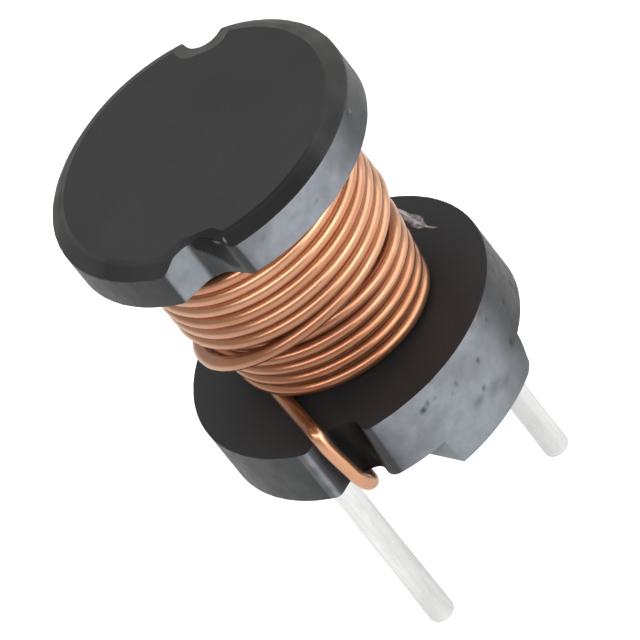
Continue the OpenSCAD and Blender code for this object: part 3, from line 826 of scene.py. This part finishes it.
class Tree:
    """The nodes of a new material or world, with a short call for each kind that is used here."""

    def __init__(self, owner):
        owner.use_nodes = True
        self.owner = owner
        self.nodes, self.links = owner.node_tree.nodes, owner.node_tree.links

    def put(self, value, socket):
        """Links an output to a socket, or sets the socket itself to a number or a colour."""
        if isinstance(value, bpy.types.NodeSocket):
            self.links.new(value, socket)
        else:
            socket.default_value = (*value, 1) if isinstance(value, tuple) else value

    def shade(self, inputs, node="Principled BSDF"):
        """Puts outputs, numbers and colours on the shader's inputs, by name."""
        for name, value in inputs.items():
            self.put(value, self.nodes[node].inputs[name])

    def coords(self, scale=(1, 1, 1)):
        """Object coordinates in millimetres, stretched by scale."""
        where = self.nodes.new("ShaderNodeTexCoord")
        size = self.nodes.new("ShaderNodeMapping")
        size.inputs["Scale"].default_value = tuple(s / MM for s in scale)
        self.links.new(where.outputs["Object"], size.inputs["Vector"])
        return size.outputs["Vector"]

    def noisy(self, vector, scale, detail, rough):
        n = self.nodes.new("ShaderNodeTexNoise")
        for name, value in (("Vector", vector), ("Scale", scale), ("Detail", detail), ("Roughness", rough)):
            self.put(value, n.inputs[name])
        return n.outputs["Fac"]

    def ramp(self, fac, *stops):
        r = self.nodes.new("ShaderNodeValToRGB")
        while len(r.color_ramp.elements) < len(stops):
            r.color_ramp.elements.new(0.5)
        for e, (at, value) in zip(r.color_ramp.elements, stops):
            e.position = at
            e.color = (*value, 1) if isinstance(value, tuple) else (value, value, value, 1)
        self.links.new(fac, r.inputs["Fac"])
        return r.outputs["Color"]

    def mix(self, fac, a, b):
        m = self.nodes.new("ShaderNodeMix")
        m.data_type = "RGBA"
        for socket, value in ((m.inputs[0], fac), (m.inputs[6], a), (m.inputs[7], b)):
            self.put(value, socket)
        return m.outputs[2]

    def maths(self, kind, a, b):
        m = self.nodes.new("ShaderNodeMath")
        m.operation = kind
        self.put(a, m.inputs[0])
        self.put(b, m.inputs[1])
        return m.outputs[0]

    def carried(self, name):
        """A value that the mesh carries."""
        a = self.nodes.new("ShaderNodeAttribute")
        a.attribute_name = name
        return a.outputs["Fac"]

    def ray(self, kind):
        return self.nodes.new("ShaderNodeLightPath").outputs[kind]

    def bump(self, height, distance, strength):
        b = self.nodes.new("ShaderNodeBump")
        for name, value in (("Height", height), ("Distance", distance), ("Strength", strength)):
            self.put(value, b.inputs[name])
        self.shade({"Normal": b.outputs["Normal"]})


def material(name):
    return Tree(bpy.data.materials.new(name))


# Light marks, among them a painted highlight along a base notch's mouth
def light_marks_and_highlight(t):
    return t.maths("MAXIMUM", t.maths("MULTIPLY", t.carried("spot"), -1.0), 0.0)


def ferrite_rim():
    """The pressed and tumbled skin of the rims: blue-grey satin with a soft mottle and dark pits, with
    painted light where they face the front and painted shade in the base notches.
    """
    t = material("ferrite_rim")
    at = t.coords()
    broad, cloud, fine = t.noisy(at, 0.9, 3, 0.55), t.noisy(at, 3.2, 5, 0.62), t.noisy(at, 22, 3, 0.6)
    bare = t.ramp(broad, (0.3, (0.014, 0.015, 0.016)), (0.7, (0.026, 0.027, 0.029)))
    lit_skin = t.ramp(cloud, (0.3, (0.190, 0.206, 0.232)), (0.7, (0.255, 0.274, 0.304)))
    # Painted light: near black where no painted light lies, light grey where it does
    colour = t.mix(t.maths("MINIMUM", t.carried("rim_painted_light"), 1.0), bare, lit_skin)
    # Dark spots: pits, and painted shade inside the base notches
    dark = t.maths("MAXIMUM", t.carried("spot"), 0.0)
    colour = t.mix(t.maths("MULTIPLY", dark, 0.93), colour, (0.005, 0.004, 0.004))
    # The light marks include a painted highlight along a base notch's mouth
    t.shade({
        "Base Color": t.mix(t.maths("MULTIPLY", light_marks_and_highlight(t), 0.6), colour, (0.40, 0.42, 0.45)),
        "Specular IOR Level": t.maths("SUBTRACT", 0.5, t.maths("MULTIPLY", dark, 0.32)),
        "Roughness": t.ramp(cloud, (0.3, 0.36), (0.7, 0.50)),
        "IOR": 1.5,
    })
    t.bump(t.maths("ADD", t.maths("MULTIPLY", cloud, 0.7), fine), 0.000012, 0.45)
    return t.owner


def ferrite_face():
    """The flat faces: dark, dead matt, with a fine grain."""
    t = material("ferrite_face")
    at = t.coords()
    broad, grain = t.noisy(at, 0.5, 2, 0.5), t.noisy(at, 30, 4, 0.6)
    colour = t.ramp(broad, (0.35, (0.014, 0.014, 0.0145)), (0.65, (0.018, 0.018, 0.0185)))
    speck = t.ramp(grain, (0.60, 0.0), (0.75, 1.0))
    t.shade({
        "Base Color": t.mix(t.maths("MULTIPLY", speck, 0.2), colour, (0.040, 0.040, 0.041)),
        "Roughness": t.ramp(grain, (0.35, 0.52), (0.65, 0.66)),
        "IOR": 1.5,
    })
    t.bump(grain, 0.000006, 0.35)
    return t.owner


def ferrite_chamfer():
    """The chamfer: near black, with light scratches, and painted light that makes it lighter towards the
    back.
    """
    t = material("ferrite_chamfer")
    grain = t.noisy(t.coords(), 24, 4, 0.6)
    painted_lighter = t.carried("chamfer_painted_light")
    black = t.ramp(grain, (0.35, (0.004, 0.004, 0.0045)), (0.65, (0.007, 0.007, 0.0075)))
    # Painted light: lighter grey where the chamfer carries painted light
    colour = t.mix(painted_lighter, black, (0.105, 0.107, 0.098))
    shine = t.maths("MINIMUM", t.maths("MULTIPLY", painted_lighter, 2.5), 0.27)
    t.shade({
        "Base Color": t.mix(light_marks_and_highlight(t), colour, (0.22, 0.22, 0.23)),
        "Specular IOR Level": t.maths("ADD", shine, 0.23),
        "Roughness": t.ramp(grain, (0.35, 0.52), (0.65, 0.66)),
    })
    t.bump(grain, 0.000006, 0.35)
    return t.owner


def enamelled(name, painted_shade_scale):
    """Copper wire under a clear amber enamel, tinned bare at its soldered end, with brown painted shade
    round the front of the lower turns and a darker copy in painted shade.
    """
    t = material(name)
    at = t.coords()
    cloud, fine = t.noisy(at, 1.6, 3, 0.5), t.noisy(at, 16, 3, 0.55)
    # The colours are scaled down for a copy in painted shade
    dark, light, shade_brown = (tuple(c * painted_shade_scale for c in colour) for colour in (
        (0.57, 0.25, 0.12), (0.68, 0.34, 0.19), (0.27, 0.085, 0.032)))
    vary = t.maths("ADD", t.maths("MULTIPLY", t.carried("tone"), 0.8), cloud)
    patchy = t.maths("ADD", 0.7, t.maths("MULTIPLY", cloud, 0.6))
    colour = t.ramp(vary, (0.2, dark), (0.8, light))
    # Brown painted shade round the front of the lower turns
    colour = t.mix(t.maths("MULTIPLY", t.carried("front_shade_share"), patchy), colour, shade_brown)
    t.shade({
        "Base Color": t.mix(t.carried("tin"), colour, (0.78, 0.77, 0.75)),
        "Metallic": 0.86,
        "Roughness": t.ramp(fine, (0.3, 0.27), (0.7, 0.33)),
        "Coat Weight": 0.6,
        "Coat Roughness": 0.25,
    })
    t.bump(cloud, 0.000006, 0.2)
    return t.owner


def tinned():
    """Hot-tinned wire: bright, with long soft streaks from the bath."""
    t = material("tinned")
    streak = t.noisy(t.coords((1, 1, 0.12)), 7.0, 4, 0.6)
    patch = t.noisy(t.coords(), 1.4, 3, 0.55)
    rough = t.maths("ADD", t.maths("MULTIPLY", streak, 0.16), t.maths("MULTIPLY", patch, 0.18))
    t.shade({
        "Base Color": t.ramp(streak, (0.3, (0.84, 0.84, 0.83)), (0.7, (0.98, 0.98, 0.97))),
        "Metallic": 1.0,
        "Roughness": t.maths("ADD", rough, 0.12),
    })
    t.bump(streak, 0.000006, 0.4)
    return t.owner


def soldered():
    """Set solder: satin with a frosty grain."""
    t = material("soldered")
    at = t.coords()
    cloud, grain = t.noisy(at, 3.5, 4, 0.6), t.noisy(at, 26, 3, 0.6)
    t.shade({
        "Base Color": t.ramp(cloud, (0.3, (0.56, 0.56, 0.55)), (0.7, (0.76, 0.76, 0.75))),
        "Metallic": 1.0,
        "Roughness": t.ramp(grain, (0.3, 0.26), (0.7, 0.46)),
    })
    t.bump(t.maths("ADD", cloud, grain), 0.00001, 0.4)
    return t.owner


def cement():
    """Cured epoxy in the pin sockets."""
    t = material("cured_cement")
    cloud = t.noisy(t.coords(), 9, 4, 0.6)
    t.shade({
        "Base Color": t.ramp(cloud, (0.3, (0.16, 0.13, 0.075)), (0.7, (0.27, 0.22, 0.14))),
        "Roughness": 0.45,
    })
    t.bump(cloud, 0.00001, 0.5)
    return t.owner


def dried_glue():
    """Dried glue: whitish where it is thick, and hardly there at its edges."""
    t = material("dried_glue")
    at = t.coords()
    cloud, fine = t.noisy(at, 4, 3, 0.6), t.noisy(at, 12, 3, 0.6)
    body = t.maths("MULTIPLY", t.carried("thick"), t.maths("ADD", 0.45, cloud))
    t.shade({
        "Base Color": t.ramp(body, (0.05, (0.018, 0.017, 0.017)), (0.45, (0.22, 0.205, 0.205)),
                             (0.95, (0.56, 0.52, 0.53))),
        "Roughness": t.ramp(fine, (0.3, 0.40), (0.7, 0.6)),
    })
    t.bump(cloud, 0.000012, 0.4)
    return t.owner


# Build

drum((ferrite_rim(), ferrite_face(), ferrite_chamfer()))
# The inner layers are a darker copy of the wire: painted shade
winding(enamelled("enamelled_wire", 1.0), enamelled("inner_layers_shaded", 0.55))
bright, set_solder = tinned(), soldered()
pin("start_lead_pin", -PIN_X, bright, "start_pin", 1.0)
pin("finish_lead_pin", PIN_X, bright, "finish_pin", 4.0)
solder("start_joint", -PIN_X, set_solder, "start_solder", 2.0)
solder("finish_joint", PIN_X, set_solder, "finish_solder", 6.0)
glue(dried_glue())
epoxy = cement()
for node in ("start_pin_cement", "finish_pin_cement"):
    mesh = frame["nodes"][node].data
    mesh.materials.clear()
    mesh.materials.append(epoxy)


# Floor, light and camera

FLOOR_HALF = 3.0
WORLD_LIGHT = 0.38
# Place in millimetres, size and energy of each lamp. All of them look at the middle of the part
LAMPS = (
    ("front_strip", (-72, -62, 84), (170, 14), 0.085),
    ("front_right", (18, -117, 34), (80, 60), 0.055),
    ("right_panel", (98, -69, 30), (150, 70), 0.055),
    ("top", (10, 20, 115), (60, 60), 0.05),
)
LAMP_AIM = Vector((0, 0, 4))
# Solved from the ellipses of the flanges' edges in the photo
LENS, SENSOR = 639.844, 36
CAMERA_PLACE, CAMERA_TURN = Vector((-93.038, -187.87, 157.193)), (46.7722, 30.0542, -51.4845)


def floor():
    """The floor under the pins' tips. It shows white, and keeps the object's shadow."""
    mesh = bpy.data.meshes.new("floor")
    s, z = FLOOR_HALF, -PIN_REACH * MM
    mesh.from_pydata([(-s, -s, z), (s, -s, z), (s, s, z), (-s, s, z)], [], [(0, 1, 2, 3)])
    obj = bpy.data.objects.new("floor", mesh)
    bpy.context.scene.collection.objects.link(obj)
    t = material("white_floor")
    seen = t.maths("MAXIMUM", t.ray("Is Camera Ray"), t.ray("Is Transmission Ray"))
    mirrored = t.maths("MULTIPLY", t.ray("Is Glossy Ray"), 0.25)
    t.shade({
        "Base Color": (0.66, 0.66, 0.66),
        "Roughness": 0.9,
        "Specular IOR Level": 0.0,
        "Emission Color": (1, 1, 1),
        "Emission Strength": t.maths("MAXIMUM", t.maths("MULTIPLY", seen, 0.8), mirrored),
    })
    mesh.materials.append(t.owner)


def world():
    """An even light all round, which the camera sees as white."""
    bpy.context.scene.world = bpy.data.worlds.new("studio")
    t = Tree(bpy.context.scene.world)
    seen = t.maths("MULTIPLY", t.ray("Is Camera Ray"), 1 - WORLD_LIGHT)
    t.shade({"Color": (1, 1, 1), "Strength": t.maths("ADD", seen, WORLD_LIGHT)}, "Background")


def lamp(name, place, size, energy):
    light = bpy.data.lights.new(name, "AREA")
    light.shape = "RECTANGLE"
    light.size, light.size_y = size[0] * MM, size[1] * MM
    light.energy = energy
    obj = bpy.data.objects.new(name, light)
    obj.location = Vector(place) * MM
    obj.rotation_mode = "QUATERNION"
    obj.rotation_quaternion = (LAMP_AIM - Vector(place)).to_track_quat("-Z", "Y")
    bpy.context.scene.collection.objects.link(obj)


floor()
world()
for one in LAMPS:
    lamp(*one)

camera = bpy.data.cameras.new("camera")
camera.lens, camera.sensor_width = LENS, SENSOR
camera.clip_start, camera.clip_end = 0.01, 20
view = bpy.data.objects.new("camera", camera)
view.location = CAMERA_PLACE * MM
view.rotation_euler = [math.radians(a) for a in CAMERA_TURN]
bpy.context.scene.collection.objects.link(view)
bpy.context.scene.camera = view
bpy.context.scene.view_settings.view_transform = "Standard"
